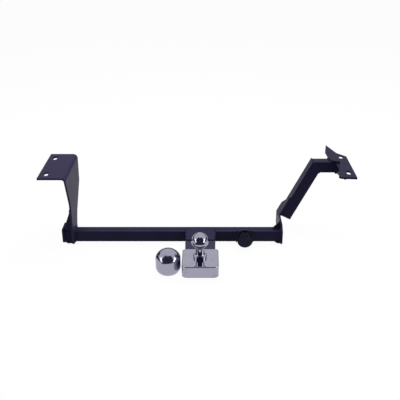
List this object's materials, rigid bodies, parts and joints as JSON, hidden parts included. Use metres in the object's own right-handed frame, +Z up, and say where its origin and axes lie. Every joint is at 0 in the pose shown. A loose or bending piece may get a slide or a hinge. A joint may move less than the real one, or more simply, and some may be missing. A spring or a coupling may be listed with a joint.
{
  "type": "trailer hitch",
  "caption": "Bolt-on car tow hitch: square cross tube, unlike left and right arms with bolt flanges, tow ball on a covered tongue, loose ball cover and electrical socket.",
  "frame": {"origin": "centre of the tow ball", "axes": "+X to the car's right along the cross tube, +Y to the front of the car, +Z up"},
  "size_m": [0.953, 0.46, 0.2425],
  "materials": {
    "frame_paint": "dark blue-black gloss paint on welded steel",
    "chrome_plate": "bright chrome plate",
    "zinc_steel": "zinc-plated steel",
    "black_zinc": "small steel parts with a black zinc finish",
    "black_plastic": "moulded black plastic, fine grain",
    "black_rubber": "soft black rubber",
    "brass": "turned brass"
  },
  "bodies": {
    "hitch": {"cross_tube": "frame_paint", "left_arm": "frame_paint", "left_end_plate": "frame_paint", "left_gusset": "frame_paint", "left_lower_gusset": "frame_paint", "right_arm_plate": "frame_paint", "right_upper_gusset": "frame_paint", "right_lower_gusset": "frame_paint", "right_riser_tube": "frame_paint", "right_riser_cap": "frame_paint", "right_outrigger_tube": "frame_paint", "right_flange": "frame_paint", "right_flange_web": "frame_paint", "tongue_top_plate": "frame_paint", "tongue_side_plates": "frame_paint", "tongue_saddle": "frame_paint", "socket_bracket": "frame_paint", "end_cover": "chrome_plate", "tow_ball": "chrome_plate", "ball_washer": "zinc_steel", "ball_nut": "zinc_steel", "socket_body": "black_plastic", "socket_insert": "black_plastic", "socket_contacts": "brass", "socket_gasket": "black_rubber", "socket_boot": "black_rubber", "socket_screws": "black_zinc", "socket_nuts": "black_zinc", "socket_hinge_pin": "black_zinc", "socket_spring": "black_zinc"},
    "socket_lid": {"socket_lid": "black_plastic", "socket_lid_seal": "black_rubber"},
    "ball_cover": {"ball_cover": "chrome_plate", "ball_cover_liner": "black_rubber"}
  },
  "joints": [
    {"name": "socket_lid_hinge", "type": "hinge", "parent": "hitch", "child": "socket_lid", "pos_m": [0.1385, 0.1216, -0.0416], "axis": [-1, 0, 0], "range_deg": [0, 100], "stiffness_Nm_per_rad": 0.004, "springref_deg": -45.84},
    {"name": "ball_cover_lift", "type": "slide", "parent": "hitch", "child": "ball_cover", "axis": [0, 0, 1], "range_m": [0, 0.12]}
  ]
}
